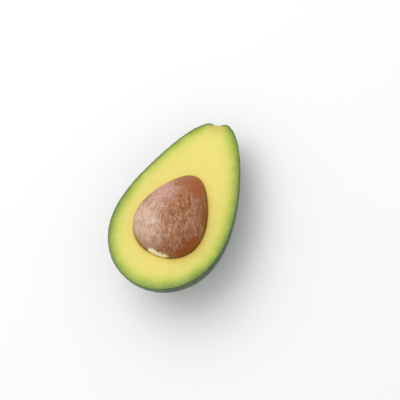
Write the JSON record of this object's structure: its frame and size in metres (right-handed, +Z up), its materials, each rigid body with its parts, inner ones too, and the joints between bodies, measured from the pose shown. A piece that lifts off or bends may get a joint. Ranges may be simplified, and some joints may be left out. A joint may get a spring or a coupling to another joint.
{
  "type": "avocado half with pit",
  "caption": "Halved avocado resting on its rounded back, cut face up, with a thin dark green skin, yellow-green flesh and a brown egg-shaped pit sunk half its depth in the flesh.",
  "frame": {"origin": "middle of the small flat spot on the skin that the half rests on", "axes": "+Z up, +Y towards the stem end, which sits lower than the butt by a 9 degree tilt, X across the fruit"},
  "size_m": [0.067, 0.1027, 0.0534],
  "materials": {
    "skin": "waxy, pebbled",
    "flesh": "moist, smooth",
    "pit_coat": "papery, veined"
  },
  "bodies": {
    "root": {"peel": "skin", "flesh": "flesh", "pit": "pit_coat"}
  },
  "joints": []
}
